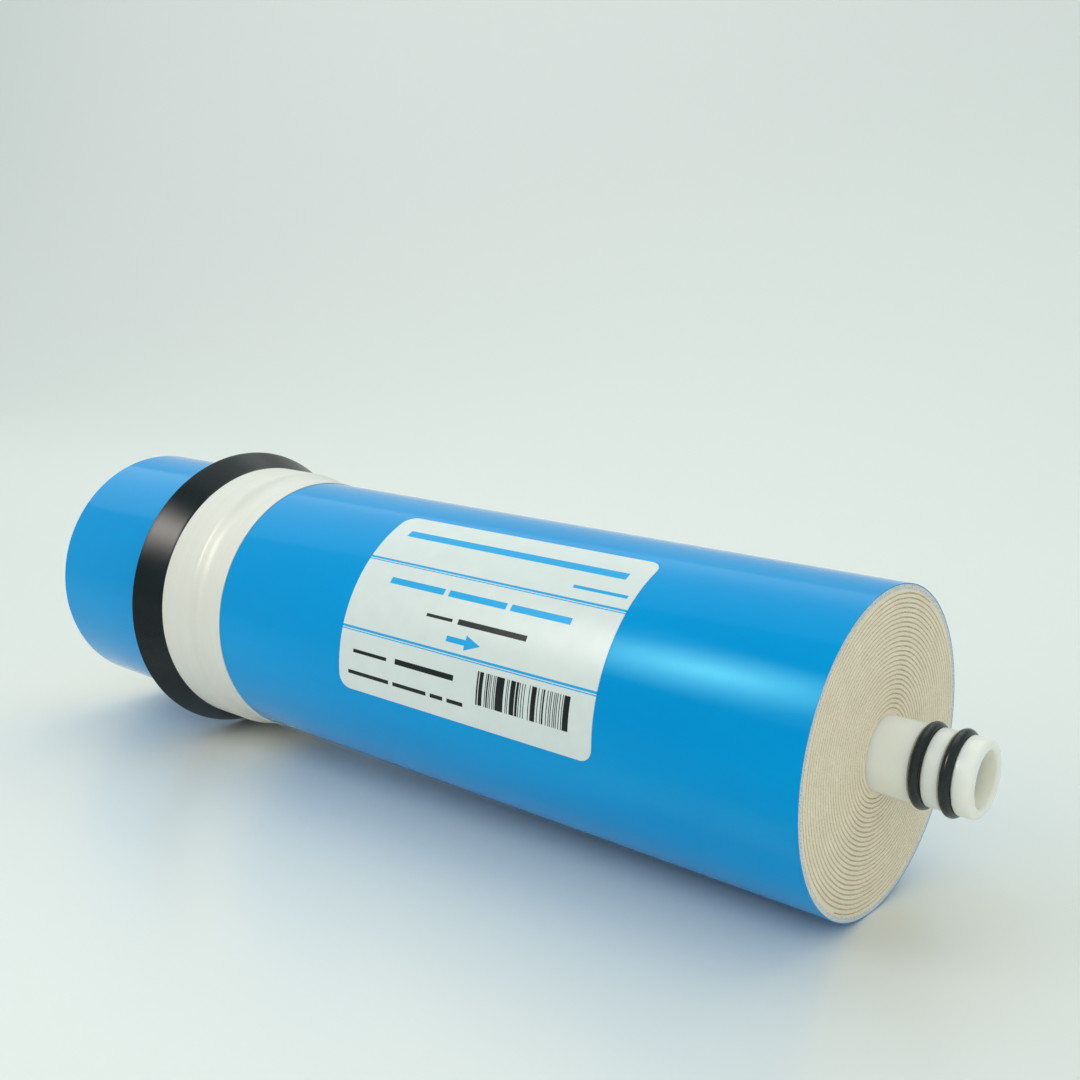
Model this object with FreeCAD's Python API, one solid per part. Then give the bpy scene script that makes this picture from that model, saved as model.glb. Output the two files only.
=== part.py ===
import FreeCAD, Part
import math
import os
from FreeCAD import Vector

# A spiral-wound reverse osmosis membrane element, lying along X.
# The origin is on the element's axis, in the plane of the roll's product-end face.
# +X points out of the open end of the permeate tube, and +Z is up.
# All sizes are in millimetres, and a distance along the roll starts at its product-end face.

# Roll of membrane leaves, wound on the tube
ROLL_LENGTH = 262.0
ROLL_DIAMETER = 73.6
LEAF_COUNT = 6          # leaves that start side by side at the tube
LEAF_PITCH = 1.04       # one leaf and the feed channel that lies on it
CHANNEL_GAP = 0.30      # free width of a feed channel
CORE_LAYER = 0.5        # closed layer of the roll on the tube
RIM_LAYER = 1.2         # closed layer of the roll under the film
TURN_SAG = 0.20         # how far a turn's short flats may lie inside its true curve

# Blue film, wrapped round the whole roll
FILM_THICKNESS = 0.2

# Permeate tube, moulded with one open and one closed end
TUBE_DIAMETER = 17.0
TUBE_WALL = 2.4
NOSE_LENGTH = 22.8      # open end, out of the product-end face
NOSE_ROUNDING = 1.5
MOUTH_CHAMFER = 0.7
STUB_LENGTH = 13.2      # closed end, out of the feed-end face
STUB_DIAMETER = 16.6    # a little under the tube's, so that the stub starts at a small shoulder
STUB_CHAMFER = 1.2
STUB_FLOOR = 3.0
INLET_DIAMETER = 3.0    # cross holes that let permeate into the tube
INLET_PITCH = 80.0
INLET_MARGIN = 25.0     # least distance from a face of the roll to a cross hole

# O-rings and their grooves
O_RING_SECTION = 2.5
O_RING_SIDES = 12       # flats round the section, one of them on the groove's floor
O_RING_PROUD = 1.0      # how far an O-ring stands out of the tube
O_RING_GAP = 6.5        # from one O-ring's middle to the other's
O_RING_SETBACK = 5.7    # from the tube's mouth to the first O-ring's middle
GROOVE_SLACK = 0.5      # groove width beyond the O-ring's section

# Brine seal: a skirt under the tape and a flared lip
SEAL_SHOULDER = 206.6   # from the product-end face to where the lip leaves the tape
SKIRT_LENGTH = 13.0
SKIRT_THICKNESS = 1.65
LIP_LENGTH = 9.3
LIP_DIAMETER = 85.8
LIP_THICKNESS = 1.2
SKIRT_CHAMFER = 0.5

# White tape that holds the seal's skirt on the film
TAPE_WIDTH = 24.6
TAPE_THICKNESS = 0.25
TAPE_RAMP = 2.6         # stretch where the tape comes down from the skirt to the film

# Label on the film
LABEL_START = 50.5      # from the product-end face
LABEL_LENGTH = 81.5
LABEL_WIDTH = 52.0      # round the film
LABEL_THICKNESS = 0.1
LABEL_TURN = 18.0       # degrees from the top of the roll to the label's upper edge
LABEL_CORNER = 3.5

# Sizes that follow from those above
ROLL_RADIUS = ROLL_DIAMETER / 2
FILM_RADIUS = ROLL_RADIUS + FILM_THICKNESS
TUBE_RADIUS = TUBE_DIAMETER / 2
STUB_RADIUS = STUB_DIAMETER / 2
BORE_RADIUS = TUBE_RADIUS - TUBE_WALL
GROOVE_RADIUS = TUBE_RADIUS + O_RING_PROUD - O_RING_SECTION
SKIRT_RADIUS = FILM_RADIUS + SKIRT_THICKNESS
LIP_RADIUS = LIP_DIAMETER / 2

ORIGIN = Vector(0, 0, 0)
AXIS = Vector(1, 0, 0)


def corner_arc(before, corner, after, rounding):
    """Return the start, middle and end of the arc that rounds one corner of a profile."""
    back = (before - corner).normalize()
    ahead = (after - corner).normalize()
    half_angle = back.getAngle(ahead) / 2
    reach = rounding / math.tan(half_angle)
    middle = (back + ahead).normalize() * (rounding / math.sin(half_angle) - rounding)
    return corner + back * reach, corner + middle, corner + ahead * reach


def profile_face(corners):
    """Make a face in the XZ plane from corners given as (x, radius, rounding)."""
    points = [Vector(x, 0, radius) for x, radius, _ in corners]
    edges = []
    stops = []
    for i, (_, _, rounding) in enumerate(corners):
        if rounding > 0:
            before = points[i - 1]
            after = points[(i + 1) % len(points)]
            start, middle, end = corner_arc(before, points[i], after, rounding)
            edges.append(Part.Arc(start, middle, end).toShape())
            stops.append((start, end))
        else:
            stops.append((points[i], points[i]))
    for i, (start, _) in enumerate(stops):
        edges.append(Part.makeLine(stops[i - 1][1], start))
    return Part.Face(Part.Wire(Part.__sortEdges__(edges)))


def turned(corners, angle=360.0):
    """Turn a profile about the element's axis."""
    return profile_face(corners).revolve(ORIGIN, AXIS, angle)


def ring_block(start, end, inner_radius, outer_radius, angle=360.0):
    """Make a plain ring about the axis, or a part of one that starts at the top."""
    return turned([
        (start, inner_radius, 0),
        (start, outer_radius, 0),
        (end, outer_radius, 0),
        (end, inner_radius, 0),
    ], angle)


def o_ring_places():
    """Return the middle of each O-ring along the axis, the inner one first."""
    outer = NOSE_LENGTH - O_RING_SETBACK
    return outer - O_RING_GAP, outer


def inlet_places():
    """Return the places of the cross holes, spread evenly about the roll's middle."""
    row_length = ROLL_LENGTH - 2 * INLET_MARGIN
    count = int(row_length / INLET_PITCH) + 1
    first = -ROLL_LENGTH / 2 - (count - 1) * INLET_PITCH / 2
    return [first + i * INLET_PITCH for i in range(count)]


def permeate_tube():
    """Moulded tube: closed stub, plain barrel with cross holes, two grooves, rounded mouth."""
    stub_end = -ROLL_LENGTH - STUB_LENGTH
    bore_floor = stub_end + STUB_FLOOR
    nose_rounding = min(NOSE_ROUNDING, 0.63 * TUBE_WALL)
    mouth_chamfer = min(MOUTH_CHAMFER, 0.3 * TUBE_WALL)
    half_groove = (O_RING_SECTION + GROOVE_SLACK) / 2
    corners = [
        (stub_end, 0, 0),
        (stub_end, STUB_RADIUS - STUB_CHAMFER, 0),
        (stub_end + STUB_CHAMFER, STUB_RADIUS, 0),
        (-ROLL_LENGTH, STUB_RADIUS, 0),
        (-ROLL_LENGTH, TUBE_RADIUS, 0),
    ]
    for place in o_ring_places():
        corners.append((place - half_groove, TUBE_RADIUS, 0))
        corners.append((place - half_groove, GROOVE_RADIUS, 0))
        corners.append((place + half_groove, GROOVE_RADIUS, 0))
        corners.append((place + half_groove, TUBE_RADIUS, 0))
    corners.append((NOSE_LENGTH, TUBE_RADIUS, nose_rounding))
    corners.append((NOSE_LENGTH, BORE_RADIUS + mouth_chamfer, 0))
    corners.append((NOSE_LENGTH - mouth_chamfer, BORE_RADIUS, 0))
    corners.append((bore_floor, BORE_RADIUS, 0))
    corners.append((bore_floor, 0, 0))
    tube = turned(corners)
    drills = []
    for place in inlet_places():
        foot = Vector(place, 0, -TUBE_DIAMETER)
        drills.append(Part.makeCylinder(INLET_DIAMETER / 2, 2 * TUBE_DIAMETER, foot))
    return tube.cut(drills)


def o_ring(place):
    """One O-ring, with a flat of its section on the floor of its groove."""
    half_section = O_RING_SECTION / 2
    half_side = math.pi / O_RING_SIDES
    reach = half_section / math.cos(half_side)
    corners = []
    for i in range(O_RING_SIDES):
        turn = (2 * i + 1) * half_side
        radius = GROOVE_RADIUS + half_section + reach * math.sin(turn)
        corners.append((place + reach * math.cos(turn), radius, 0))
    return turned(corners)


def turned_towards(turn):
    """Unit vector in the XY plane; a growing turn goes clockwise, as the leaves do."""
    return Vector(math.cos(turn), -math.sin(turn), 0)


def turn_points(step, radius, flats):
    """Points along one step of a turn, in the XY plane, with its share of short flats.

    A turn takes as many steps as there are leaves, each about a centre of its own. The centres
    are the corners of a polygon whose side is one pitch, so each step runs smoothly into the
    next one, which is a pitch further out.
    """
    sector = 2 * math.pi / LEAF_COUNT
    start = step * sector
    centre_reach = LEAF_PITCH / (2 * math.sin(sector / 2))
    centre_turn = start + sector / 2 + math.pi / 2
    centre = turned_towards(centre_turn) * centre_reach
    turns = [start + sector * i / flats for i in range(flats + 1)]
    return [centre + turned_towards(turn) * radius for turn in turns]


def channel_wire(leaf, first_radius, step_count):
    """Outline of one leaf's feed channel, which winds outwards from the tube."""
    sector = 2 * math.pi / LEAF_COUNT
    inner_wall = []
    outer_wall = []
    for step in range(step_count):
        radius = first_radius + step * LEAF_PITCH
        flats = math.ceil(sector / (2 * math.acos(1 - TURN_SAG / radius)))
        # A step's last point is the next step's first one.
        inner_wall += turn_points(leaf + step, radius, flats)[step > 0:]
        outer_wall += turn_points(leaf + step, radius + CHANNEL_GAP, flats)[step > 0:]
    outline = inner_wall + outer_wall[::-1]
    return Part.makePolygon(outline + outline[:1])


def leaf_roll():
    """The wound leaves: one solid whose feed channels are open from end face to end face."""
    first_radius = TUBE_RADIUS + CORE_LAYER + LEAF_PITCH / 2
    last_radius = ROLL_RADIUS - RIM_LAYER - CHANNEL_GAP - LEAF_PITCH / 2
    step_count = int((last_radius - first_radius) / LEAF_PITCH) + 1
    wires = [Part.Wire(Part.makeCircle(ROLL_RADIUS)), Part.Wire(Part.makeCircle(TUBE_RADIUS))]
    for leaf in range(LEAF_COUNT):
        wires.append(channel_wire(leaf, first_radius, step_count))
    end_face = Part.makeFace(wires, "Part::FaceMakerBullseye")
    roll = end_face.extrude(Vector(0, 0, -ROLL_LENGTH))
    # The drawing plane's X, Y and Z become the element's Y, Z and X.
    roll.rotate(ORIGIN, Vector(1, 1, 1), 120)
    return roll


def outer_wrap():
    """Film shell on the roll, flush with both of its faces."""
    return ring_block(-ROLL_LENGTH, 0, ROLL_RADIUS, FILM_RADIUS)


def brine_seal():
    """Rubber ring: the tape holds its skirt, and its lip flares towards the feed end."""
    front = SKIRT_LENGTH - SEAL_SHOULDER
    lip_edge = -SEAL_SHOULDER - LIP_LENGTH
    flare = math.atan2(LIP_RADIUS - SKIRT_RADIUS, LIP_LENGTH)
    lip_inner_radius = LIP_RADIUS - LIP_THICKNESS / math.cos(flare)
    root = lip_edge + (lip_inner_radius - FILM_RADIUS) / math.tan(flare)
    return turned([
        (front, FILM_RADIUS, 0),
        (front, SKIRT_RADIUS - SKIRT_CHAMFER, 0),
        (front - SKIRT_CHAMFER, SKIRT_RADIUS, 0),
        (-SEAL_SHOULDER, SKIRT_RADIUS, 0),
        (lip_edge, LIP_RADIUS, 0),
        (lip_edge, lip_inner_radius, 0),
        (root, FILM_RADIUS, 0),
    ])


def seal_tape():
    """Tape band, up on the seal's skirt at one side and down on the film at the other."""
    front = SKIRT_LENGTH - SEAL_SHOULDER
    ramp_foot = front + TAPE_RAMP
    tape_edge = TAPE_WIDTH - SEAL_SHOULDER
    return turned([
        (tape_edge, FILM_RADIUS, 0),
        (ramp_foot, FILM_RADIUS, 0),
        (front, SKIRT_RADIUS, 0),
        (-SEAL_SHOULDER, SKIRT_RADIUS, 0),
        (-SEAL_SHOULDER, SKIRT_RADIUS + TAPE_THICKNESS, 0),
        (front, SKIRT_RADIUS + TAPE_THICKNESS, 0),
        (ramp_foot, FILM_RADIUS + TAPE_THICKNESS, 0),
        (tape_edge, FILM_RADIUS + TAPE_THICKNESS, 0),
    ])


def label():
    """Sticker bent round the film: a thick block gets the round corners, then is thinned."""
    far_end = -LABEL_START - LABEL_LENGTH
    inner_radius = FILM_RADIUS - LABEL_CORNER / 2
    outer_radius = FILM_RADIUS + LABEL_CORNER / 2
    angle = math.degrees(LABEL_WIDTH / FILM_RADIUS)
    block = ring_block(far_end, -LABEL_START, inner_radius, outer_radius, angle)
    corners = [edge for edge in block.Edges if edge.Length < 1.1 * LABEL_CORNER]
    rounded = block.makeFillet(LABEL_CORNER, corners)
    skin = ring_block(far_end, -LABEL_START, FILM_RADIUS, FILM_RADIUS + LABEL_THICKNESS)
    sticker = rounded.common(skin).Solids[0]
    sticker.rotate(ORIGIN, AXIS, LABEL_TURN)
    return sticker


def main():
    os.makedirs("parts", exist_ok=True)
    inner_place, outer_place = o_ring_places()
    nodes = {
        "permeate_tube": permeate_tube(),
        "o_ring_inner": o_ring(inner_place),
        "o_ring_outer": o_ring(outer_place),
        "leaf_roll": leaf_roll(),
        "outer_wrap": outer_wrap(),
        "brine_seal": brine_seal(),
        "seal_tape": seal_tape(),
        "label": label(),
    }
    for name, shape in nodes.items():
        shape.exportStep(f"parts/{name}.step")
        print(f"{name}: {len(shape.Solids)} solid, {shape.Volume:.0f} mm3")


main()
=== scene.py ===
# %% [markdown]
# # A reverse osmosis membrane element
# The real thing is a roll of membrane leaves wound on a plastic tube, held by a glossy blue
# film. Water goes in at the far end, between the leaves, and clean water leaves by the tube.
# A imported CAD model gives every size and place, so it is loaded first as a fixed frame. This
# script adds finer meshes and finishes round that frame, one piece to a step.
# All sizes are in metres, so a size written in millimetres is multiplied by MM.

# %% Load the frame
import math

import bmesh
import bpy
from mathutils import Matrix, Vector, noise


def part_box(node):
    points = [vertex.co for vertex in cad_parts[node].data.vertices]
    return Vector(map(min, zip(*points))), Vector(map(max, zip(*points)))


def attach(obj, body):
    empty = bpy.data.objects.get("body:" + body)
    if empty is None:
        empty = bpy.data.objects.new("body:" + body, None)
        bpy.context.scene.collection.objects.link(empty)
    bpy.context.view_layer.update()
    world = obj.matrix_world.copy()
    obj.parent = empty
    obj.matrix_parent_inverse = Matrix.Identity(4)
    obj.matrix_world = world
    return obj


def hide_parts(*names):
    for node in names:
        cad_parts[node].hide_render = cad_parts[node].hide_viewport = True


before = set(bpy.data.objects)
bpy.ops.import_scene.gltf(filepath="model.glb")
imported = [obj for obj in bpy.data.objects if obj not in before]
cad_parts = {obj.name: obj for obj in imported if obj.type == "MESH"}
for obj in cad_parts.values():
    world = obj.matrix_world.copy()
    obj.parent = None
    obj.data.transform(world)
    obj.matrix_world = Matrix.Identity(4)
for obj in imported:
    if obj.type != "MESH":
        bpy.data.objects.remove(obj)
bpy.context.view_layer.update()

MM = 0.001
AXIS = Vector((1, 0, 0))
CENTRE = Vector((0, 0, 0))

print("nodes:", sorted(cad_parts))

# %% [markdown]
# ## Sizes that the frame gives
# The element's axis is the X axis, so a round node's outer radius is the highest Z of its box
# and its ends are the box's lowest and highest X. Reading them here keeps each fine mesh on
# the CAD solid that it stands for. Only what a box can't tell, such as a wall, is named below.

# %% Read ends and radii from the nodes' boxes
def ends_and_radius(node):
    low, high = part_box(node)
    return low.x, high.x, high.z

ROLL_BACK, ROLL_FRONT, ROLL_RADIUS = ends_and_radius("leaf_roll")
FILM_RADIUS = ends_and_radius("outer_wrap")[2]
TUBE_BACK, TUBE_FRONT, TUBE_RADIUS = ends_and_radius("permeate_tube")
LIP_EDGE, SEAL_FRONT, LIP_RADIUS = ends_and_radius("brine_seal")
TAPE_BACK, TAPE_FRONT, TAPE_RADIUS = ends_and_radius("seal_tape")

print(f"roll {(ROLL_FRONT - ROLL_BACK) / MM:.1f} mm long, {2 * FILM_RADIUS / MM:.1f} mm across")
print(f"tube {(TUBE_FRONT - TUBE_BACK) / MM:.1f} mm long, {2 * TUBE_RADIUS / MM:.1f} mm across")

# %% [markdown]
# ## Helpers for turned pieces
# Most of this object is round about one axis, like work from a lathe. Such a piece could be
# made from a cylinder and edited, but a spun outline is simpler: a few corners are joined into
# a line, some of the corners are rounded, and the line is turned a full circle about the axis.

# %% Draw an outline and spin it
ROUNDING_STEPS = 6
SAME_POINT = 0.001 * MM


def outline(mesh, corners, closed):
    """Joins corners, given as (x, radius, rounding), by straight lines in the XZ plane."""
    points = [mesh.verts.new((x, 0, radius)) for x, radius, _ in corners]
    for before, after in zip(points, points[1:]):
        mesh.edges.new((before, after))
    if closed:
        mesh.edges.new((points[-1], points[0]))
    for point, (_, _, rounding) in zip(points, corners):
        if rounding:
            bmesh.ops.bevel(mesh, geom=[point], offset=rounding, offset_type='OFFSET',
                            segments=ROUNDING_STEPS, profile=0.5, affect='VERTICES', material=-1)


def divide_long_lines(mesh, longest):
    """Cuts the outline's long lines, so that a later wave or crease has points to move."""
    for edge in mesh.edges[:]:
        cuts = int(edge.calc_length() / longest)
        if cuts:
            bmesh.ops.subdivide_edges(mesh, edges=[edge], cuts=cuts)


def spin_outline(mesh, steps):
    """Turns the outline a full circle about the X axis and closes the seam and the poles."""
    bmesh.ops.spin(mesh, geom=mesh.verts[:] + mesh.edges[:], cent=CENTRE, axis=AXIS,
                   dvec=CENTRE, angle=math.tau, steps=steps, use_merge=True, use_duplicate=False)
    bmesh.ops.remove_doubles(mesh, verts=mesh.verts, dist=SAME_POINT)
    bmesh.ops.recalc_face_normals(mesh, faces=mesh.faces)

# %% [markdown]
# A finished mesh becomes an object at the origin. It then rides on the frame's only body
# and may stand in for a CAD node. Smooth shading is on, with a limit so that true corners
# stay crisp.

# %% Turn a mesh into a piece
CRISP_CORNER = math.radians(32)


def piece(name, mesh, replaced=None):
    """Makes an object of the mesh. It may stand in for a CAD node."""
    data = bpy.data.meshes.new(name)
    mesh.to_mesh(data)
    mesh.free()
    data.shade_smooth()
    data.set_sharp_from_angle(angle=CRISP_CORNER)
    made = bpy.data.objects.new(name, data)
    bpy.context.scene.collection.objects.link(made)
    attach(made, "root")
    if replaced:
        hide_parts(replaced)
    triangles = sum(len(polygon.vertices) - 2 for polygon in data.polygons)
    print(f"{name}: {triangles} triangles")
    return made

# %% [markdown]
# A mesh operator touches every point of its mesh, so hundreds of small parts are made faster
# in small meshes that are then added to the large one.

# %% Add a small mesh to a large one
def add_part(mesh, part):
    """Adds part's geometry to mesh and returns the new points."""
    count_before = len(mesh.verts)
    data = bpy.data.meshes.new("part")
    part.to_mesh(data)
    part.free()
    mesh.from_mesh(data)
    bpy.data.meshes.remove(data)
    mesh.verts.ensure_lookup_table()
    return mesh.verts[count_before:]

# %% [markdown]
# ## The permeate tube
# The tube is moulded in a milky plastic. Its mouth has a soft outer edge, two square grooves
# hold the O-rings, and the far end is closed. Its outline starts on the axis at the closed
# end, runs along the outside, turns in at the mouth and comes back along the bore. Each point
# on the axis closes into a pole when its doubles are merged.

# %% Outline of the tube
BORE_RADIUS = 6.1 * MM
GROOVE_RADIUS = 7.0 * MM
GROOVE_WIDTH = 3.0 * MM
STUB_RADIUS = 8.3 * MM
STUB_EDGE = 1.2 * MM
STUB_FLOOR = 3.0 * MM
NOSE_ROUNDING = 1.5 * MM
MOUTH_ROUNDING = 0.8 * MM
GROOVE_ROUNDING = 0.12 * MM
TUBE_STEPS = 144


def ring_middle(node):
    """The X of the middle of an O-ring."""
    low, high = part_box(node)
    return (low.x + high.x) / 2


tube_corners = [
    (TUBE_BACK, 0, 0),
    (TUBE_BACK, STUB_RADIUS, STUB_EDGE),
    (ROLL_BACK, STUB_RADIUS, 0),
    (ROLL_BACK, TUBE_RADIUS, 0),
]
for node in ("o_ring_inner", "o_ring_outer"):
    low_side = ring_middle(node) - GROOVE_WIDTH / 2
    high_side = ring_middle(node) + GROOVE_WIDTH / 2
    tube_corners += [
        (low_side, TUBE_RADIUS, GROOVE_ROUNDING),
        (low_side, GROOVE_RADIUS, 0),
        (high_side, GROOVE_RADIUS, 0),
        (high_side, TUBE_RADIUS, GROOVE_ROUNDING),
    ]
tube_corners += [
    (TUBE_FRONT, TUBE_RADIUS, NOSE_ROUNDING),
    (TUBE_FRONT, BORE_RADIUS, MOUTH_ROUNDING),
    (TUBE_BACK + STUB_FLOOR, BORE_RADIUS, 0),
    (TUBE_BACK + STUB_FLOOR, 0, 0),
]
tube_mesh = bmesh.new()
outline(tube_mesh, tube_corners, closed=False)
spin_outline(tube_mesh, TUBE_STEPS)
tube = piece("permeate_tube_moulding", tube_mesh, "permeate_tube")

# %% [markdown]
# Clean water enters the tube through small cross holes under the roll. A hole through a round
# wall is the one shape here that no spin gives, so each is cut with a Boolean modifier and a
# thin rod, and the result is kept as the tube's own mesh.

# %% Cut the cross holes
HOLE_RADIUS = 1.5 * MM
HOLE_PITCH = 80 * MM
HOLE_STEPS = 32

rods = bmesh.new()
for place in (-1, 0, 1):
    middle = Vector(((ROLL_BACK + ROLL_FRONT) / 2 + place * HOLE_PITCH, 0, 0))
    bmesh.ops.create_cone(rods, cap_ends=True, segments=HOLE_STEPS, radius1=HOLE_RADIUS,
                          radius2=HOLE_RADIUS, depth=3 * TUBE_RADIUS,
                          matrix=Matrix.Translation(middle))
rod_data = bpy.data.meshes.new("drill_rods")
rods.to_mesh(rod_data)
rods.free()
rod_object = bpy.data.objects.new("drill_rods", rod_data)
bpy.context.scene.collection.objects.link(rod_object)
drilling = tube.modifiers.new("cross_holes", 'BOOLEAN')
drilling.operation = 'DIFFERENCE'
drilling.solver = 'EXACT'
drilling.object = rod_object
bpy.context.view_layer.update()
evaluated = tube.evaluated_get(bpy.context.evaluated_depsgraph_get())
drilled = bpy.data.meshes.new_from_object(evaluated)
tube.modifiers.clear()
tube.data = drilled
bpy.data.objects.remove(rod_object)
print(f"{tube.name}: {len(drilled.polygons)} faces with its cross holes")

# %% [markdown]
# ## The O-rings
# An O-ring is a round section spun about the axis. The section sits on the floor of its groove
# and stands out of the tube by about a millimetre, which is what seals it in a socket.

# %% Spin the two O-rings
SECTION_RADIUS = 1.25 * MM
SECTION_STEPS = 28
RING_STEPS = 144

for node in ("o_ring_inner", "o_ring_outer"):
    ring_mesh = bmesh.new()
    place = Vector((ring_middle(node), 0, GROOVE_RADIUS + SECTION_RADIUS))
    bmesh.ops.create_circle(ring_mesh, segments=SECTION_STEPS, radius=SECTION_RADIUS,
                            matrix=Matrix.Translation(place) @ Matrix.Rotation(math.pi / 2, 4, 'X'))
    spin_outline(ring_mesh, RING_STEPS)
    piece(node + "_round", ring_mesh, node)

# %% [markdown]
# ## The wound leaves
# Six leaves start side by side at the tube and wind outwards together, with an open feed
# channel between each and the next. Seen from the end, the channels are six spirals. A spiral
# could be worked out point by point, but an easier way is to chain short arcs. Each arc turns
# a sixth of a circle about one corner of a small hexagon whose side is one pitch, so each
# next arc starts where the last one stops, with a radius that is one pitch larger.

# %% Draw the six feed channels
LEAF_COUNT = 6
LEAF_PITCH = 1.04 * MM
CHANNEL_GAP = 0.30 * MM
CORE_LAYER = 0.5 * MM
RIM_LAYER = 1.2 * MM
ARC_STEPS = 20
SECTOR = math.tau / LEAF_COUNT
FIRST_RADIUS = TUBE_RADIUS + CORE_LAYER + LEAF_PITCH / 2
LAST_RADIUS = ROLL_RADIUS - RIM_LAYER - CHANNEL_GAP - LEAF_PITCH / 2
ARC_COUNT = int((LAST_RADIUS - FIRST_RADIUS) / LEAF_PITCH) + 1


def turned_towards(turn, reach):
    """A point in the end face's plane. The turn grows clockwise, as the leaves wind."""
    return Vector((0, math.cos(turn), -math.sin(turn))) * reach


def arc_centre(turn):
    """The corner of the small hexagon about which the arc that starts at this turn runs."""
    return turned_towards(turn + SECTOR / 2 + math.pi / 2, LEAF_PITCH / (2 * math.sin(SECTOR / 2)))


def spiral(leaf, offset):
    """Chains arcs outwards from the tube, in a mesh of their own."""
    mesh = bmesh.new()
    start = leaf * SECTOR
    last = mesh.verts.new(arc_centre(start) + turned_towards(start, FIRST_RADIUS + offset))
    for arc in range(ARC_COUNT):
        swept = bmesh.ops.spin(mesh, geom=[last], cent=arc_centre(start + arc * SECTOR),
                               axis=-AXIS, dvec=CENTRE, angle=SECTOR, steps=ARC_STEPS,
                               use_merge=False, use_duplicate=False)
        last = [part for part in swept["geom_last"] if isinstance(part, bmesh.types.BMVert)][0]
    return mesh


WANDER = 0.09 * MM
WANDER_SPOTS = 330  # to the metre


def wander(spot):
    """Shifts a point of the roll a little outwards or inwards, as loosely wound leaves do."""
    radius = math.hypot(spot.y, spot.z)
    inner_fade = min(1, (radius - TUBE_RADIUS) / LEAF_PITCH)
    outer_fade = min(1, (ROLL_RADIUS - radius) / LEAF_PITCH)
    bend = noise.noise(Vector((0, spot.y, spot.z)) * WANDER_SPOTS)
    share = WANDER * bend * max(0, inner_fade) * max(0, outer_fade) / radius
    return Vector((spot.x, spot.y * (1 + share), spot.z * (1 + share)))


print(f"{LEAF_COUNT} channels of {ARC_COUNT} arcs each")

# %% [markdown]
# The end face is the ring between tube and film with the six channels left open. Blender's
# triangle fill covers what lies between nested outlines. The filled face is then extruded to
# the roll's other end, so the channels stay open all the way through. Last, each end face is
# inset and its rim set back, which gives the leaves a fine chamfer that catches the light.

# %% Fill the end face and extrude it
ROLL_STEPS = 288
LEAF_EDGE = 0.05 * MM


def joined_walls(mesh, leaf, inner_offset, outer_offset):
    """Draws a spiral strip: its two long walls and the short lines that close it."""
    inner_wall = add_part(mesh, spiral(leaf, inner_offset))
    outer_wall = add_part(mesh, spiral(leaf, outer_offset))
    mesh.edges.new((inner_wall[0], outer_wall[0]))
    mesh.edges.new((inner_wall[-1], outer_wall[-1]))


def extrude_along(mesh, length):
    """Extrudes all faces along X into closed solids."""
    swept = bmesh.ops.extrude_face_region(mesh, geom=mesh.faces[:], use_keep_orig=True)
    far_points = [part for part in swept["geom"] if isinstance(part, bmesh.types.BMVert)]
    bmesh.ops.translate(mesh, verts=far_points, vec=AXIS * length)
    bmesh.ops.recalc_face_normals(mesh, faces=mesh.faces)


def end_face_outline(mesh):
    """Draws the roll's rim, the tube's rim and the six channels in the front face's plane."""
    facing = Matrix.Translation((ROLL_FRONT, 0, 0)) @ Matrix.Rotation(math.pi / 2, 4, 'Y')
    bmesh.ops.create_circle(mesh, segments=ROLL_STEPS, radius=ROLL_RADIUS, matrix=facing)
    bmesh.ops.create_circle(mesh, segments=TUBE_STEPS, radius=TUBE_RADIUS, matrix=facing)
    for leaf in range(LEAF_COUNT):
        joined_walls(mesh, leaf, 0, CHANNEL_GAP)


def chamfer_ends(mesh, size):
    """Insets both end faces and sets their rims back."""
    ends = [face for face in mesh.faces if abs(face.normal.x) > 0.9]
    bmesh.ops.inset_region(mesh, faces=ends, thickness=size, depth=0,
                           use_even_offset=True, use_boundary=True)
    crown_points = {point for face in ends for point in face.verts}
    for point in mesh.verts:
        if point not in crown_points:
            point.co.x += size if point.co.x < ROLL_BACK / 2 else -size


roll_mesh = bmesh.new()
end_face_outline(roll_mesh)
for point in roll_mesh.verts:
    point.co = wander(point.co)
bmesh.ops.triangle_fill(roll_mesh, edges=roll_mesh.edges[:], use_beauty=True, normal=AXIS)
print(f"end face: {sum(face.calc_area() for face in roll_mesh.faces) / MM ** 2:.0f} mm2 of leaves")
extrude_along(roll_mesh, ROLL_BACK - ROLL_FRONT)
chamfer_ends(roll_mesh, LEAF_EDGE)
roll = piece("wound_leaves", roll_mesh, "leaf_roll")

# %% [markdown]
# ## The feed spacer
# A net of plastic strands keeps each channel open, and its cut ends show as rows of dots
# between the leaves. The whole net would cost millions of faces that nobody sees. So a thin
# sheet along the middle of each channel stands for the net inside the roll, and short strands
# are set at both of its ends, in pairs that lean left and right as the net's two layers do.

# %% Fill and extrude the sheets
SHEET_THICKNESS = 0.16 * MM
SHEET_DEPTH = 0.12 * MM
SHEET_INNER = (CHANNEL_GAP - SHEET_THICKNESS) / 2

sheet_mesh = bmesh.new()
for leaf in range(LEAF_COUNT):
    joined_walls(sheet_mesh, leaf, SHEET_INNER, SHEET_INNER + SHEET_THICKNESS)
for point in sheet_mesh.verts:
    point.co = wander(point.co)
bmesh.ops.triangle_fill(sheet_mesh, edges=sheet_mesh.edges[:], use_beauty=True, normal=AXIS)
bmesh.ops.translate(sheet_mesh, verts=sheet_mesh.verts, vec=AXIS * (ROLL_FRONT - SHEET_DEPTH))
extrude_along(sheet_mesh, ROLL_BACK - ROLL_FRONT + 2 * SHEET_DEPTH)
spacer_sheets = piece("feed_spacer_sheets", sheet_mesh)

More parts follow.
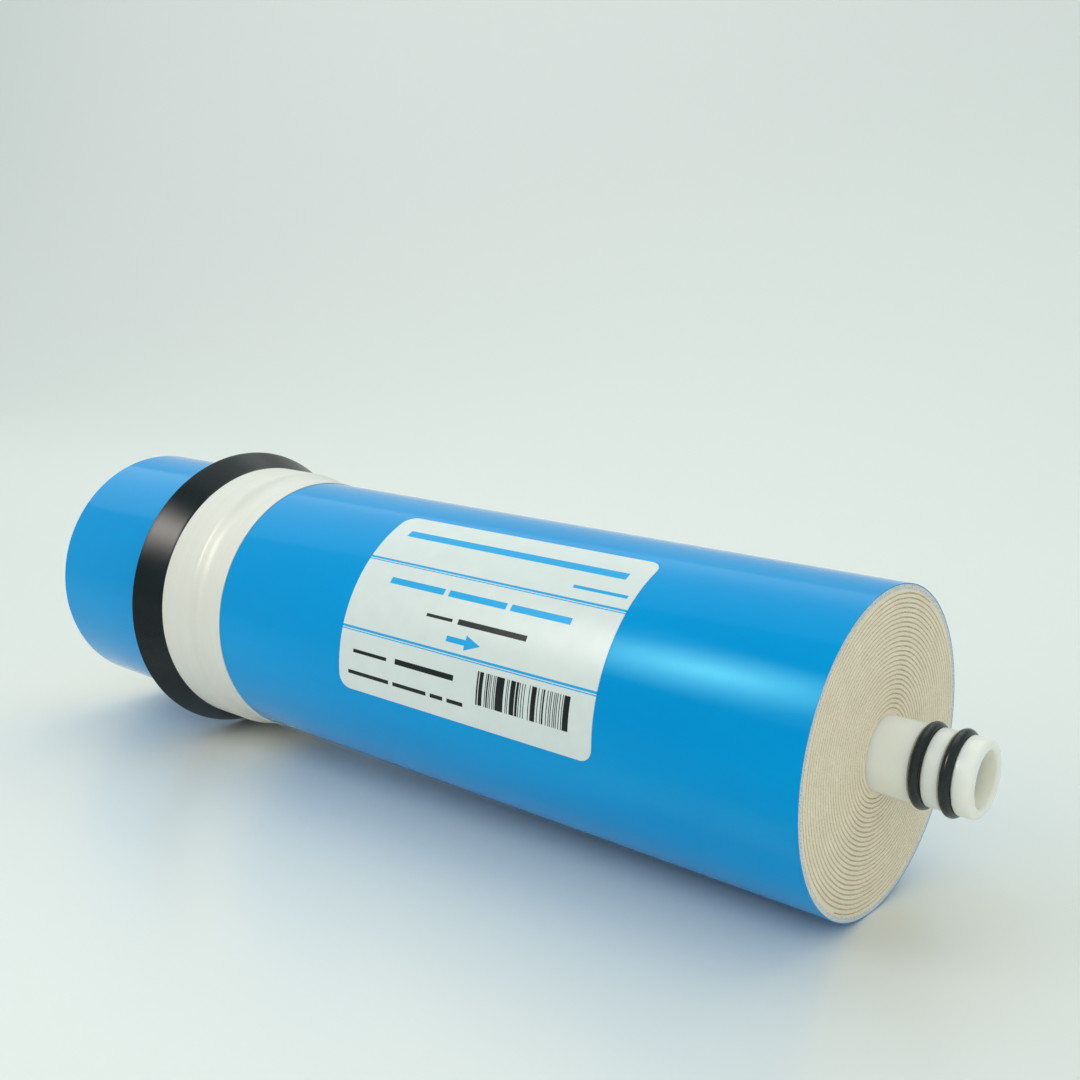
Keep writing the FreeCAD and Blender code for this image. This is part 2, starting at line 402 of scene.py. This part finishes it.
# %% Set the strand ends in the channels
STRAND_PITCH = 1.4 * MM
STRAND_PAIR = 0.20 * MM
STRAND_RADIUS = 0.13 * MM
STRAND_LENGTH = 1.6 * MM
STRAND_LEAN = math.radians(38)
STRAND_SIDES = 5
STRAND_DEPTH = 0.04 * MM


def strand(mesh, centre, turn, radius, face_x, lean):
    """One rod that starts just inside an end face and leans along the channel."""
    inward = -1 if face_x == ROLL_FRONT else 1
    spot = wander(centre + turned_towards(turn, radius))
    spot.x = face_x + inward * (STRAND_LENGTH / 2 * math.cos(lean) + STRAND_DEPTH)
    tilt = Matrix.Rotation(lean, 4, 'Y') @ Matrix.Rotation(math.pi / 2, 4, 'Y')
    place = Matrix.Translation(spot) @ Matrix.Rotation(-turn, 4, 'X')
    bmesh.ops.create_cone(mesh, cap_ends=True, segments=STRAND_SIDES, radius1=STRAND_RADIUS,
                          radius2=STRAND_RADIUS, depth=STRAND_LENGTH, matrix=place @ tilt)


def strands_of_one_arc(leaf, arc):
    """Sets pairs of strands at both ends of one arc of a channel."""
    part = bmesh.new()
    turn = (leaf + arc) * SECTOR
    radius = FIRST_RADIUS + arc * LEAF_PITCH + CHANNEL_GAP / 2
    count = round(SECTOR * radius / STRAND_PITCH)
    for number in range(count):
        place = turn + SECTOR * (number + 0.5) / count
        for face_x in (ROLL_FRONT, ROLL_BACK):
            for side in (-1, 1):
                shifted = place + side * STRAND_PAIR / radius
                strand(part, arc_centre(turn), shifted, radius, face_x, side * STRAND_LEAN)
    return part


strand_mesh = bmesh.new()
for leaf in range(LEAF_COUNT):
    for arc in range(ARC_COUNT):
        add_part(strand_mesh, strands_of_one_arc(leaf, arc))
spacer = piece("feed_spacer_ends", strand_mesh)

# %% [markdown]
# ## The blue film
# The film is a thin sleeve, wound tight and glossy. A perfect cylinder would look like glass,
# so its outline is cut into many short lines and every point is then moved inwards by a few
# hundredths of a millimetre, which bends the reflections a little.

# %% Spin the film and give it a slight wave
FILM_STEPS = 256
FILM_LINE = 3.0 * MM
FILM_WAVE = 0.030 * MM
FILM_WAVE_SPOTS = Vector((22, 60, 60))  # to the metre
SKIN = 0.05 * MM


def wave_inwards(mesh, outer_radius, depth, spots):
    """Moves the outer points inwards by up to depth and leaves the inner wall alone."""
    for point in mesh.verts:
        radius = math.hypot(point.co.y, point.co.z)
        if radius < outer_radius - SKIN:
            continue
        spot = point.co * spots
        share = 0.5 + 0.5 * noise.noise(spot)
        moved = radius - depth * share
        point.co.y *= moved / radius
        point.co.z *= moved / radius


film_mesh = bmesh.new()
outline(film_mesh, [
    (ROLL_BACK, ROLL_RADIUS, 0),
    (ROLL_BACK, FILM_RADIUS, 0),
    (ROLL_FRONT, FILM_RADIUS, 0),
    (ROLL_FRONT, ROLL_RADIUS, 0),
], closed=True)
divide_long_lines(film_mesh, FILM_LINE)
spin_outline(film_mesh, FILM_STEPS)
wave_inwards(film_mesh, FILM_RADIUS, FILM_WAVE, FILM_WAVE_SPOTS)
film = piece("wrap_film", film_mesh, "outer_wrap")

# %% [markdown]
# ## The brine seal and its tape
# A rubber ring sits near the far end: its skirt lies under white tape, and its lip flares out
# to touch the vessel's wall. The tape follows the skirt's step down to the film in a soft
# ramp. Both are spun from outlines with rounded corners.

# %% Spin the seal
SKIRT_RADIUS = TAPE_RADIUS - 0.25 * MM
LIP_THICKNESS = 1.2 * MM
SKIRT_CHAMFER = 0.5 * MM
LIP_ROUNDING = 0.25 * MM
SEAL_LINE = 1.5 * MM
SEAL_STEPS = 220

flare = math.atan2(LIP_RADIUS - SKIRT_RADIUS, TAPE_BACK - LIP_EDGE)
lip_inner_radius = LIP_RADIUS - LIP_THICKNESS / math.cos(flare)
lip_root = LIP_EDGE + (lip_inner_radius - FILM_RADIUS) / math.tan(flare)
seal_mesh = bmesh.new()
outline(seal_mesh, [
    (SEAL_FRONT, FILM_RADIUS, 0),
    (SEAL_FRONT, SKIRT_RADIUS - SKIRT_CHAMFER, 0),
    (SEAL_FRONT - SKIRT_CHAMFER, SKIRT_RADIUS, 0),
    (TAPE_BACK, SKIRT_RADIUS, 0),
    (LIP_EDGE, LIP_RADIUS, LIP_ROUNDING),
    (LIP_EDGE, lip_inner_radius, LIP_ROUNDING),
    (lip_root, FILM_RADIUS, 0),
], closed=True)
divide_long_lines(seal_mesh, SEAL_LINE)
spin_outline(seal_mesh, SEAL_STEPS)
seal = piece("lip_seal", seal_mesh, "brine_seal")

# %% Spin the tape
TAPE_THICKNESS = 0.25 * MM
TAPE_RAMP = 2.6 * MM
RAMP_ROUNDING = 1.2 * MM
TAPE_EDGE = 0.08 * MM
TAPE_LINE = 1.2 * MM

tape_mesh = bmesh.new()
outline(tape_mesh, [
    (TAPE_FRONT, FILM_RADIUS, 0),
    (SEAL_FRONT + TAPE_RAMP, FILM_RADIUS, 0),
    (SEAL_FRONT, SKIRT_RADIUS, 0),
    (TAPE_BACK, SKIRT_RADIUS, 0),
    (TAPE_BACK, TAPE_RADIUS, TAPE_EDGE),
    (SEAL_FRONT, TAPE_RADIUS, RAMP_ROUNDING / 2),
    (SEAL_FRONT + TAPE_RAMP, FILM_RADIUS + TAPE_THICKNESS, RAMP_ROUNDING),
    (TAPE_FRONT, FILM_RADIUS + TAPE_THICKNESS, TAPE_EDGE),
], closed=True)
divide_long_lines(tape_mesh, TAPE_LINE)
spin_outline(tape_mesh, SEAL_STEPS)
tape = piece("tape_band", tape_mesh, "seal_tape")

# %% [markdown]
# ## Finishes
# Every finish is a small network of nodes round one Principled shader. The nodes that come
# back in most of them are noise, colour ramps, bump and plain arithmetic, so each of these
# has a helper. Patterns read Object coordinates, which are metres on the element itself.

# %% Helpers for materials
def new_finish(name, roughness, base=(0.8, 0.8, 0.8)):
    """Returns a new material, its node tree and its Principled shader."""
    finish = bpy.data.materials.new(name)
    finish.use_nodes = True
    shader = finish.node_tree.nodes["Principled BSDF"]
    shader.inputs["Roughness"].default_value = roughness
    shader.inputs["Base Color"].default_value = (*base, 1)
    return finish, finish.node_tree, shader


def add_node(tree, kind, **settings):
    node = tree.nodes.new(kind)
    for name, value in settings.items():
        setattr(node, name, value)
    return node


def set_input(tree, socket, value):
    """Feeds a socket with another node's output or with a plain number."""
    if isinstance(value, bpy.types.NodeSocket):
        tree.links.new(value, socket)
    else:
        socket.default_value = value


def math_of(tree, operation, *values):
    node = add_node(tree, "ShaderNodeMath", operation=operation)
    for socket, value in zip(node.inputs, values):
        set_input(tree, socket, value)
    return node.outputs[0]


def object_place(tree, scale=(1, 1, 1)):
    """Coordinates on the object, stretched by scale."""
    place = add_node(tree, "ShaderNodeTexCoord")
    mapping = add_node(tree, "ShaderNodeMapping")
    mapping.inputs["Scale"].default_value = scale
    tree.links.new(place.outputs["Object"], mapping.inputs["Vector"])
    return mapping.outputs["Vector"]


def noise_of(tree, scale, detail=3.0, roughness=0.5):
    """Noise with so many spots to the metre along X, Y and Z."""
    texture = add_node(tree, "ShaderNodeTexNoise")
    texture.inputs["Scale"].default_value = 1.0
    texture.inputs["Detail"].default_value = detail
    texture.inputs["Roughness"].default_value = roughness
    tree.links.new(object_place(tree, scale), texture.inputs["Vector"])
    return texture.outputs["Fac"]


def ramp_of(tree, value, stops):
    """Colour ramp from (position, colour) stops."""
    ramp = add_node(tree, "ShaderNodeValToRGB")
    while len(ramp.color_ramp.elements) < len(stops):
        ramp.color_ramp.elements.new(0.5)
    for element, (position, colour) in zip(ramp.color_ramp.elements, stops):
        element.position = position
        element.color = (*colour, 1)
    tree.links.new(value, ramp.inputs["Fac"])
    return ramp.outputs["Color"]


def mix_of(tree, share, first, second):
    """Mixes two colours; each is a colour or another node's output."""
    mix = add_node(tree, "ShaderNodeMix", data_type='RGBA')
    set_input(tree, mix.inputs[0], share)
    for socket, value in zip(mix.inputs[6:8], (first, second)):
        set_input(tree, socket, value if isinstance(value, bpy.types.NodeSocket) else (*value, 1))
    return mix.outputs[2]


def bump_of(tree, shader, height, strength, distance):
    """Tilts the shader's normal by a height pattern that is distance deep."""
    bump = add_node(tree, "ShaderNodeBump")
    bump.inputs["Strength"].default_value = strength
    bump.inputs["Distance"].default_value = distance
    tree.links.new(height, bump.inputs["Height"])
    tree.links.new(bump.outputs["Normal"], shader.inputs["Normal"])


def paint(made, finish):
    made.data.materials.clear()
    made.data.materials.append(finish)

# %% [markdown]
# On a round piece it helps to know how far a point is from the axis and how far round it is.
# Both follow from its Y and Z, by Pythagoras and by the arc tangent. The turn starts at the
# top and grows towards the side that carries the label.

# %% Radius and turn of a point
def round_place(tree):
    """Returns a point's X, its radius and its turn in radians."""
    place = add_node(tree, "ShaderNodeTexCoord")
    split = add_node(tree, "ShaderNodeSeparateXYZ")
    tree.links.new(place.outputs["Object"], split.inputs[0])
    x, y, z = split.outputs
    square = math_of(tree, 'ADD', math_of(tree, 'MULTIPLY', y, y), math_of(tree, 'MULTIPLY', z, z))
    radius = math_of(tree, 'SQRT', square)
    turn = math_of(tree, 'ARCTAN2', math_of(tree, 'MULTIPLY', y, -1.0), z)
    return x, radius, turn

# %% [markdown]
# The film is deep cyan under a hard gloss. Its colour varies very little. What makes it look
# like stretched film is its reflections: a fine noise with many spots along the roll and few
# round it frays their edges, as the film's tiny winding creases do. The gloss is tinted, so
# that a straight look stays a full blue and only a flat angle turns white.

# %% Film finish
film_finish, tree, shader = new_finish("glossy_blue_film", roughness=0.10)
cloud = noise_of(tree, (14, 50, 50))
tree.links.new(ramp_of(tree, cloud, [(0.3, (0.0, 0.30, 0.70)), (0.7, (0.0, 0.33, 0.75))]),
               shader.inputs["Base Color"])
shader.inputs["Specular IOR Level"].default_value = 0.18
shader.inputs["Specular Tint"].default_value = (0.25, 1.0, 0.85, 1)
creases = noise_of(tree, (420, 45, 45), detail=4.0)
bump_of(tree, shader, creases, 0.10, 0.1 * MM)
paint(film, film_finish)

# %% [markdown]
# The tube is an unfilled plastic that lets light in a little way, so subsurface scattering is
# part of its look. The O-rings are black rubber under a film of grease, and the seal is the
# same rubber, dry, with fine rings from its mould.

# %% Tube finish
tube_finish, tree, shader = new_finish("milky_plastic", roughness=0.24)
cloud = noise_of(tree, (70, 70, 70))
tree.links.new(ramp_of(tree, cloud, [(0.3, (0.92, 0.88, 0.79)), (0.7, (0.96, 0.93, 0.85))]),
               shader.inputs["Base Color"])
shader.inputs["Subsurface Weight"].default_value = 0.8
shader.inputs["Subsurface Radius"].default_value = (1.0, 0.85, 0.6)
shader.inputs["Subsurface Scale"].default_value = 3.5 * MM
skin = noise_of(tree, (500, 900, 900))
bump_of(tree, shader, skin, 0.08, 0.1 * MM)
paint(tube, tube_finish)

# %% Rubber finishes
ring_finish, tree, shader = new_finish("greased_rubber", roughness=0.2, base=(0.004, 0.010, 0.010))
smears = noise_of(tree, (700, 700, 700), detail=4.0)
tree.links.new(ramp_of(tree, smears, [(0.35, (0.10, 0.10, 0.10)), (0.7, (0.34, 0.34, 0.34))]),
               shader.inputs["Roughness"])
bump_of(tree, shader, smears, 0.15, 0.1 * MM)
for node in ("o_ring_inner", "o_ring_outer"):
    paint(bpy.data.objects[node + "_round"], ring_finish)

seal_finish, tree, shader = new_finish("satin_rubber", roughness=0.24, base=(0.004, 0.010, 0.012))
shader.inputs["Specular IOR Level"].default_value = 0.20
rings = noise_of(tree, (5200, 40, 40), detail=2.0)
bump_of(tree, shader, rings, 0.25, 0.03 * MM)
bloom = noise_of(tree, (90, 120, 120))
tree.links.new(ramp_of(tree, bloom, [(0.3, (0.002, 0.006, 0.008)), (0.7, (0.005, 0.011, 0.013))]),
               shader.inputs["Base Color"])
paint(seal, seal_finish)

# %% [markdown]
# The tape is a satin plastic tape, stretched as it was wound. It shows faint lines round the
# roll and a faint shadow of what lies under it.

# %% Tape finish
tape_finish, tree, shader = new_finish("white_tape_film", roughness=0.42)
strain = noise_of(tree, (900, 30, 30), detail=3.0)
tree.links.new(ramp_of(tree, strain, [(0.3, (0.76, 0.74, 0.67)), (0.7, (0.79, 0.77, 0.70))]),
               shader.inputs["Base Color"])
shader.inputs["Subsurface Weight"].default_value = 0.2
shader.inputs["Subsurface Radius"].default_value = (1.0, 0.9, 0.8)
shader.inputs["Subsurface Scale"].default_value = 0.6 * MM
bump_of(tree, shader, strain, 0.05, 0.05 * MM)
paint(tape, tape_finish)

# %% [markdown]
# Each leaf is a sandwich: two thin membranes with a woven carrier between them. On the end
# face this shows as a pale band with a slightly darker, fibrous middle; here a fine grain
# noise spreads these pale and darker fibrous tones at random over the face.
# Outside the last leaf, the closed wraps look paler and greyer.

# %% Leaf finish
leaf_finish, tree, shader = new_finish("leaf_edges", roughness=0.85)
x, radius, turn = round_place(tree)
grains = noise_of(tree, (1500, 2600, 2600), detail=4.0, roughness=0.65)
patches = noise_of(tree, (160, 160, 160), detail=3.0)
band = ramp_of(tree, grains, [(0.30, (0.80, 0.68, 0.50)), (0.52, (0.95, 0.87, 0.69)),
                              (0.75, (0.98, 0.93, 0.79))])
outer_wraps = ramp_of(tree, grains, [(0.36, (0.38, 0.37, 0.42)), (0.5, (0.78, 0.77, 0.76)),
                                     (0.7, (0.90, 0.89, 0.86))])
rim_start = math_of(tree, 'GREATER_THAN', radius, ROLL_RADIUS - RIM_LAYER)
both = mix_of(tree, rim_start, band, outer_wraps)
shade = ramp_of(tree, patches, [(0.3, (0.93, 0.92, 0.90)), (0.7, (1.0, 1.0, 1.0))])
multiply = add_node(tree, "ShaderNodeMix", data_type='RGBA', blend_type='MULTIPLY')
multiply.inputs[0].default_value = 1.0
tree.links.new(both, multiply.inputs[6])
tree.links.new(shade, multiply.inputs[7])
tree.links.new(multiply.outputs[2], shader.inputs["Base Color"])
bump_of(tree, shader, grains, 0.35, 0.10 * MM)
paint(roll, leaf_finish)

spacer_finish, tree, shader = new_finish("spacer_strands", roughness=0.6)
fibres = noise_of(tree, (900, 900, 900))
tree.links.new(ramp_of(tree, fibres, [(0.3, (0.66, 0.49, 0.31)), (0.7, (0.86, 0.72, 0.53))]),
               shader.inputs["Base Color"])
paint(spacer, spacer_finish)
paint(spacer_sheets, spacer_finish)

# %% [markdown]
# The label is a white sticker. Its print could be an image, but rules, bars and an arrow are
# simple shapes, so each is worked out from the point's place on the sheet: how far along it
# is, and how far down from the upper edge. The words of a real label are left as plain bars,
# and the bar code's stripes are random, so they say nothing.

# %% Place on the label's sheet
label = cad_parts["label"]
label_low, label_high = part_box("label")
LABEL_RADIUS = -label_low.y
UPPER_EDGE = math.atan2(-label_high.y, label_high.z)
INK_BLUE = (0.012, 0.40, 0.80)
INK_BLACK = (0.006, 0.012, 0.012)


def print_box(tree, along, down, left, right, top, bottom):
    """A mask that is 1 inside a rectangle on the sheet. All sizes are in millimetres."""
    inside_along = math_of(tree, 'COMPARE', along, (left + right) / 2, (right - left) / 2)
    inside_down = math_of(tree, 'COMPARE', down, (top + bottom) / 2, (bottom - top) / 2)
    return math_of(tree, 'MULTIPLY', inside_along, inside_down)


def all_of(tree, masks):
    joined = masks[0]
    for mask in masks[1:]:
        joined = math_of(tree, 'MAXIMUM', joined, mask)
    return joined


print(f"label: upper edge {math.degrees(UPPER_EDGE):.1f} degrees from the top")

# %% Print on the label
BLUE_BARS = [
    (-1, 83, 16.25, 16.85), (-1, 83, 17.08, 17.36),
    (-1, 83, 35.70, 36.30), (-1, 83, 36.53, 36.81),
    (6.0, 76.0, 5.9, 8.1),
    (64.3, 79.7, 12.5, 13.4),
    (11.0, 29.6, 21.1, 22.8), (31.1, 49.6, 21.1, 22.8), (51.0, 69.0, 21.1, 22.8),
]
BLACK_BARS = [
    (27.0, 35.6, 28.0, 28.8), (37.4, 58.9, 27.6, 29.0),
    (5.0, 17.0, 41.3, 42.2), (20.0, 39.8, 40.9, 42.3),
    (3.4, 18.0, 46.9, 47.9), (19.5, 31.0, 46.9, 47.9), (32.4, 36.6, 46.9, 47.9),
    (38.0, 43.2, 46.9, 47.9),
]
ARROW_TAIL = (35.4, 41.4, 32.1, 33.5)
ARROW_TIP = 46.3
ARROW_SLOPE = 0.38
CODE_BOX = (47.2, 75.3, 38.3, 46.3)
CODE_STRIPE = 0.24
CODE_BLANK = 0.42  # the share of stripes that stay white

label_finish, tree, shader = new_finish("label_face", roughness=0.28)
shader.inputs["Specular IOR Level"].default_value = 0.2
x, radius, turn = round_place(tree)
along = math_of(tree, 'MULTIPLY', math_of(tree, 'SUBTRACT', x, label_low.x), 1 / MM)
down = math_of(tree, 'MULTIPLY', math_of(tree, 'SUBTRACT', turn, UPPER_EDGE), LABEL_RADIUS / MM)
tail_middle = (ARROW_TAIL[2] + ARROW_TAIL[3]) / 2
off_middle = math_of(tree, 'ABSOLUTE', math_of(tree, 'SUBTRACT', down, tail_middle))
to_tip = math_of(tree, 'SUBTRACT', ARROW_TIP, along)
in_head = math_of(tree, 'LESS_THAN', off_middle, math_of(tree, 'MULTIPLY', to_tip, ARROW_SLOPE))
past_tail = math_of(tree, 'GREATER_THAN', along, ARROW_TAIL[1])
arrow_head = math_of(tree, 'MULTIPLY', in_head, past_tail)
blue_bars = [print_box(tree, along, down, *bar) for bar in [*BLUE_BARS, ARROW_TAIL]]
blue = all_of(tree, [*blue_bars, arrow_head])
stripe = add_node(tree, "ShaderNodeTexWhiteNoise", noise_dimensions='1D')
tree.links.new(math_of(tree, 'SNAP', along, CODE_STRIPE), stripe.inputs["W"])
printed = math_of(tree, 'GREATER_THAN', stripe.outputs["Value"], CODE_BLANK)
code = math_of(tree, 'MULTIPLY', printed, print_box(tree, along, down, *CODE_BOX))
black = all_of(tree, [code, *[print_box(tree, along, down, *bar) for bar in BLACK_BARS]])
paper = ramp_of(tree, noise_of(tree, (200, 200, 200)),
                [(0.3, (0.71, 0.77, 0.75)), (0.7, (0.745, 0.80, 0.78))])
inked = mix_of(tree, black, mix_of(tree, blue, paper, INK_BLUE), INK_BLACK)
tree.links.new(inked, shader.inputs["Base Color"])
bump_of(tree, shader, noise_of(tree, (420, 60, 60), detail=3.0), 0.10, 0.1 * MM)
paint(label, label_finish)

# %% [markdown]
# ## Floor and backdrop
# The element rests on the edge of its lip and on the rim of its front face, so it leans by
# about a degree and a half. The frame keeps the element level, so the floor is tilted instead.
# A floor that curves up behind the object, as in a photographer's studio, shows no horizon.
# It is a bent line, rounded at the bend and pulled out sideways.

# %% Pull out the floor
FLOOR_HALF_WIDTH = 4.0
FLOOR_FRONT = -3.0
FLOOR_BACK = 1.5
WALL_TOP = 3.0
BEND = 1.0

front_contact = Vector((ROLL_FRONT, 0, -FILM_RADIUS))
back_contact = Vector((LIP_EDGE, 0, -LIP_RADIUS))
floor_lean = (front_contact - back_contact).to_track_quat('X', 'Z').to_matrix().to_4x4()
floor_mesh = bmesh.new()
bend_line = [floor_mesh.verts.new((-FLOOR_HALF_WIDTH, y, z))
             for y, z in ((FLOOR_FRONT, 0), (FLOOR_BACK, 0), (FLOOR_BACK, WALL_TOP))]
floor_mesh.edges.new(bend_line[:2])
floor_mesh.edges.new(bend_line[1:])
bmesh.ops.bevel(floor_mesh, geom=[bend_line[1]], offset=BEND, offset_type='OFFSET', segments=24,
                profile=0.5, affect='VERTICES', material=-1)
pulled = bmesh.ops.extrude_edge_only(floor_mesh, edges=floor_mesh.edges[:])
pulled_points = [part for part in pulled["geom"] if isinstance(part, bmesh.types.BMVert)]
bmesh.ops.translate(floor_mesh, verts=pulled_points, vec=(2 * FLOOR_HALF_WIDTH, 0, 0))
bmesh.ops.recalc_face_normals(floor_mesh, faces=floor_mesh.faces)
bmesh.ops.transform(floor_mesh, verts=floor_mesh.verts,
                    matrix=Matrix.Translation(front_contact) @ floor_lean)


def stage_object(name, mesh, finish):
    """Makes an object that belongs to the stage and not to the element."""
    data = bpy.data.meshes.new(name)
    mesh.to_mesh(data)
    mesh.free()
    data.shade_smooth()
    made = bpy.data.objects.new(name, data)
    bpy.context.scene.collection.objects.link(made)
    paint(made, finish)
    return made


floor_finish, tree, shader = new_finish("pale_floor", roughness=0.30, base=(0.83, 0.845, 0.82))
shader.inputs["Specular IOR Level"].default_value = 0.6
stage_object("floor", floor_mesh, floor_finish)

# %% [markdown]
# ## Light
# A gloss shows what stands round it, so the lights are placed for their reflections as well
# as for their light. A wide box hangs over and behind the roll: its near edge draws the step
# between the film's light and dark bands. Two more boxes only add light, and are kept out of
# reflections: one washes the backdrop and one fills the end face.

# %% Hang the soft boxes
world = bpy.data.worlds.new("studio")
bpy.context.scene.world = world
world.use_nodes = True
world.node_tree.nodes["Background"].inputs["Color"].default_value = (0.83, 0.935, 0.935, 1)
world.node_tree.nodes["Background"].inputs["Strength"].default_value = 0.68


def soft_box(name, matrix, size, power, colour, in_gloss=True):
    """A rectangular light; power is in watts and the light shines along its own -Z."""
    light = bpy.data.lights.new(name, 'AREA')
    light.shape = 'RECTANGLE'
    light.size, light.size_y = size
    light.energy = power
    light.color = colour
    made = bpy.data.objects.new(name, light)
    bpy.context.scene.collection.objects.link(made)
    made.matrix_world = matrix
    made.visible_glossy = in_gloss
    return made


def facing(place, target):
    """A placement at place that looks at target."""
    aim = (Vector(target) - Vector(place)).to_track_quat('-Z', 'Y').to_matrix().to_4x4()
    return Matrix.Translation(place) @ aim


BOX_HEIGHT = 0.60
BOX_SIZE = (1.7, 0.75)
BOX_POWER = 2.8
BOX_COLOUR = (0.93, 1.0, 0.96)
BOX_EDGE_TURN = math.radians(15.5)
BOX_NEAR_EDGE = Vector((-0.45, -0.118, BOX_HEIGHT))
WASH_AIM = facing((-1.5, 0.2, 1.9), (-2.1, 1.5, 1.3))
WASH_SIZE = (2.6, 0.8)
WASH_POWER = 14.2
WASH_COLOUR = (1.0, 0.98, 0.95)
FILL_AIM = facing((0.60, -0.55, 0.45), (0, 0, 0))
FILL_SIZE = (0.8, 0.8)
FILL_POWER = 1.5
FILL_COLOUR = (1.0, 0.91, 0.80)

box_turn = Matrix.Rotation(BOX_EDGE_TURN, 4, 'Z')
box_middle = BOX_NEAR_EDGE + box_turn @ Vector((0, BOX_SIZE[1] / 2, 0))
box_place = Matrix.Translation(box_middle) @ box_turn
soft_box("overhead_box", box_place, BOX_SIZE, BOX_POWER, BOX_COLOUR)
soft_box("wall_wash", WASH_AIM, WASH_SIZE, WASH_POWER, WASH_COLOUR, in_gloss=False)
soft_box("end_fill", FILL_AIM, FILL_SIZE, FILL_POWER, FILL_COLOUR, in_gloss=False)

# %% [markdown]
# A smaller panel with a bright middle, off to the front, draws the pale streak. It shows in
# reflections alone, so a soft box of the same size stands in its place and gives the light
# that such a panel would throw.

# %% Stand the glowing panel
STREAK_AIM = facing((-0.255, -0.311, 0.300), (-0.10, 0, 0.10))
STREAK_SIZE = (0.22, 0.29)
GLOW_COLOUR = (1.0, 0.93, 0.86, 1)
GLOW_SPREAD = (8.5, 6.5, 1)
GLOW_FALL = 1.5
GLOW_PEAK = 30.0
GLOW_EDGE = 1.8
FRONT_POWER = 0.36
FRONT_COLOUR = (1.0, 0.97, 0.93)

streak_finish = bpy.data.materials.new("streak_glow")
streak_finish.use_nodes = True
tree = streak_finish.node_tree
tree.nodes.clear()
glow = add_node(tree, "ShaderNodeEmission")
glow.inputs["Color"].default_value = GLOW_COLOUR
surface = add_node(tree, "ShaderNodeOutputMaterial")
tree.links.new(glow.outputs[0], surface.inputs[0])
ball = add_node(tree, "ShaderNodeTexGradient", gradient_type='SPHERICAL')
tree.links.new(object_place(tree, GLOW_SPREAD), ball.inputs["Vector"])
fall = math_of(tree, 'POWER', ball.outputs["Fac"], GLOW_FALL)
strength = math_of(tree, 'MULTIPLY_ADD', fall, GLOW_PEAK, GLOW_EDGE)
tree.links.new(strength, glow.inputs["Strength"])

panel_mesh = bmesh.new()
bmesh.ops.create_grid(panel_mesh, x_segments=1, y_segments=1, size=0.5)
bmesh.ops.scale(panel_mesh, vec=(*STREAK_SIZE, 1), verts=panel_mesh.verts)
streak_panel = stage_object("streak_panel", panel_mesh, streak_finish)
streak_panel.matrix_world = STREAK_AIM
streak_panel.visible_camera = False
streak_panel.visible_diffuse = False
streak_panel.visible_shadow = False
streak_panel.visible_transmission = False
soft_box("front_fill", STREAK_AIM, STREAK_SIZE, FRONT_POWER, FRONT_COLOUR, in_gloss=False)

# %% [markdown]
# ## Camera
# The camera stands close to the product end, a little above it, and looks slightly down.

# %% Place the camera
CAMERA_PLACE = Vector((112.92, -252.89, 98.81)) * MM
CAMERA_RIGHT = Vector((0.76674462, 0.6416102, 0.02095319))
CAMERA_UP = Vector((-0.1426952, 0.13852043, 0.9800256))
CAMERA_BACK = Vector((0.62589198, -0.75441927, 0.19776449))

camera_data = bpy.data.cameras.new("camera")
camera_data.sensor_width = 36
camera_data.lens = 43.70
camera_data.clip_start = 1 * MM
camera = bpy.data.objects.new("camera", camera_data)
bpy.context.scene.collection.objects.link(camera)
camera_turn = Matrix((CAMERA_RIGHT, CAMERA_UP, CAMERA_BACK)).transposed()
camera.matrix_world = Matrix.Translation(CAMERA_PLACE) @ camera_turn.to_4x4()
bpy.context.scene.camera = camera
bpy.context.scene.view_settings.view_transform = 'Standard'
